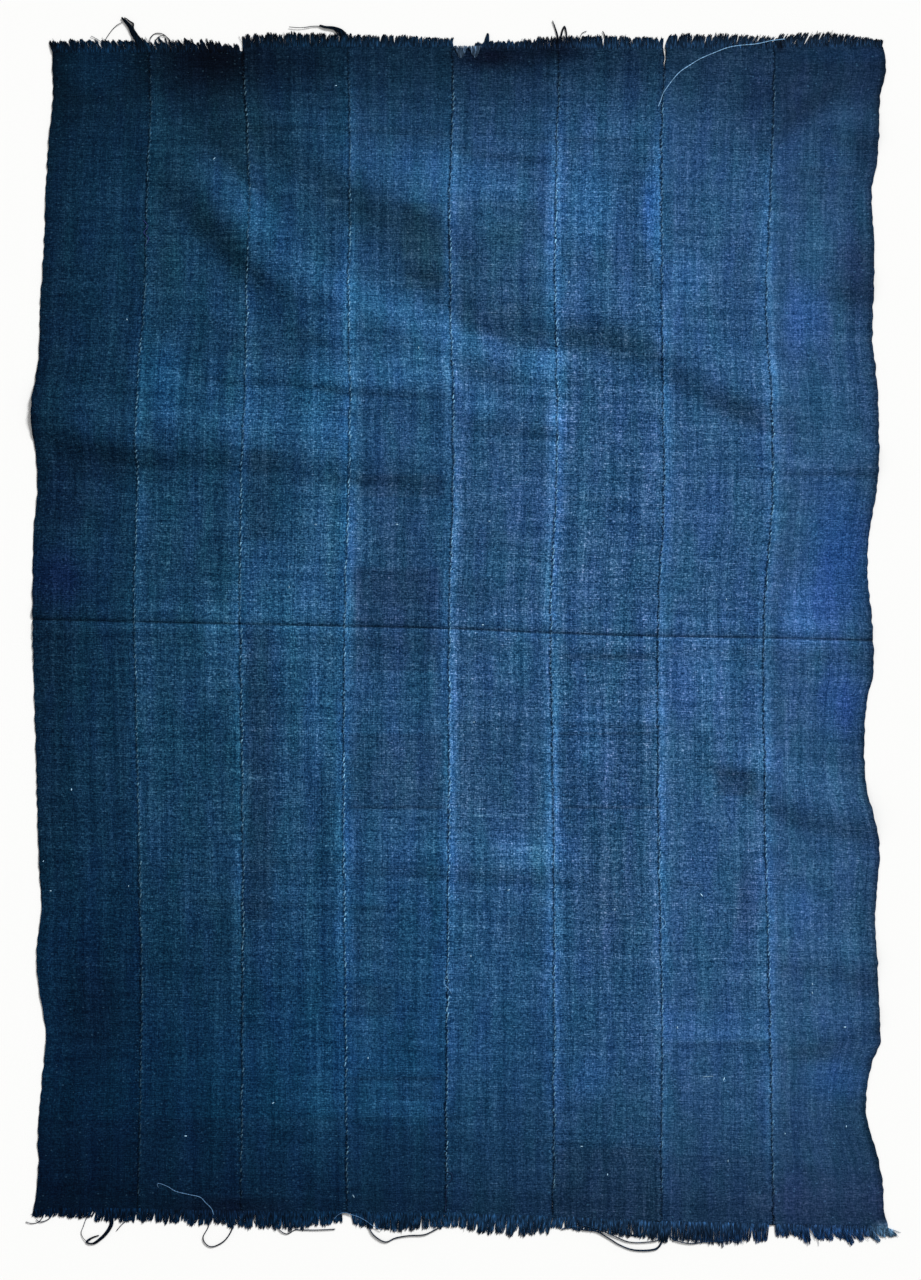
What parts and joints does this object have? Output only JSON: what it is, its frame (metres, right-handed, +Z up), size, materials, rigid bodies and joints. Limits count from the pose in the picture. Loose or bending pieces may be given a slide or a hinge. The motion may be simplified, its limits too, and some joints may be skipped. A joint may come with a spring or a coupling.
{
  "type": "strip-woven indigo cloth",
  "caption": "Rectangular indigo-dyed cotton cloth of narrow woven strips sewn side by side, lying flat in low folds, with frayed warp fringes and a few loose threads at both ends.",
  "frame": {"origin": "middle of the cloth's outline, loose threads included, on the surface that it lies on", "axes": "+X across the strips, from the darkest strip to the brightest; +Y along the strips towards the top fringe; +Z up from the surface"},
  "size_m": [1.0839, 1.536, 0.0133],
  "materials": {
    "deep_indigo_cotton": "matt handspun plain weave, dyed deepest",
    "dark_indigo_cotton": "matt handspun plain weave, dark",
    "mid_indigo_cotton": "matt handspun plain weave with lighter bands beside the seams",
    "bright_indigo_cotton": "matt handspun plain weave with lighter bands beside the seams",
    "deep_indigo_yarn": "frayed matt cotton warp ends, dark",
    "indigo_yarn": "frayed matt cotton warp ends and sewing thread"
  },
  "bodies": {
    "root": {"strip_1": "deep_indigo_cotton", "strip_2": "dark_indigo_cotton", "strip_3": "mid_indigo_cotton", "strip_4": "mid_indigo_cotton", "strip_5": "bright_indigo_cotton", "strip_6": "bright_indigo_cotton", "strip_7": "bright_indigo_cotton", "strip_8": "bright_indigo_cotton", "fringe_top_1": "deep_indigo_yarn", "fringe_top_2": "deep_indigo_yarn", "fringe_top_3": "indigo_yarn", "fringe_top_4": "indigo_yarn", "fringe_top_5": "indigo_yarn", "fringe_top_6": "indigo_yarn", "fringe_top_7": "indigo_yarn", "fringe_top_8": "indigo_yarn", "fringe_bottom_1": "deep_indigo_yarn", "fringe_bottom_2": "deep_indigo_yarn", "fringe_bottom_3": "indigo_yarn", "fringe_bottom_4": "indigo_yarn", "fringe_bottom_5": "indigo_yarn", "fringe_bottom_6": "indigo_yarn", "fringe_bottom_7": "indigo_yarn", "fringe_bottom_8": "indigo_yarn"}
  },
  "joints": []
}
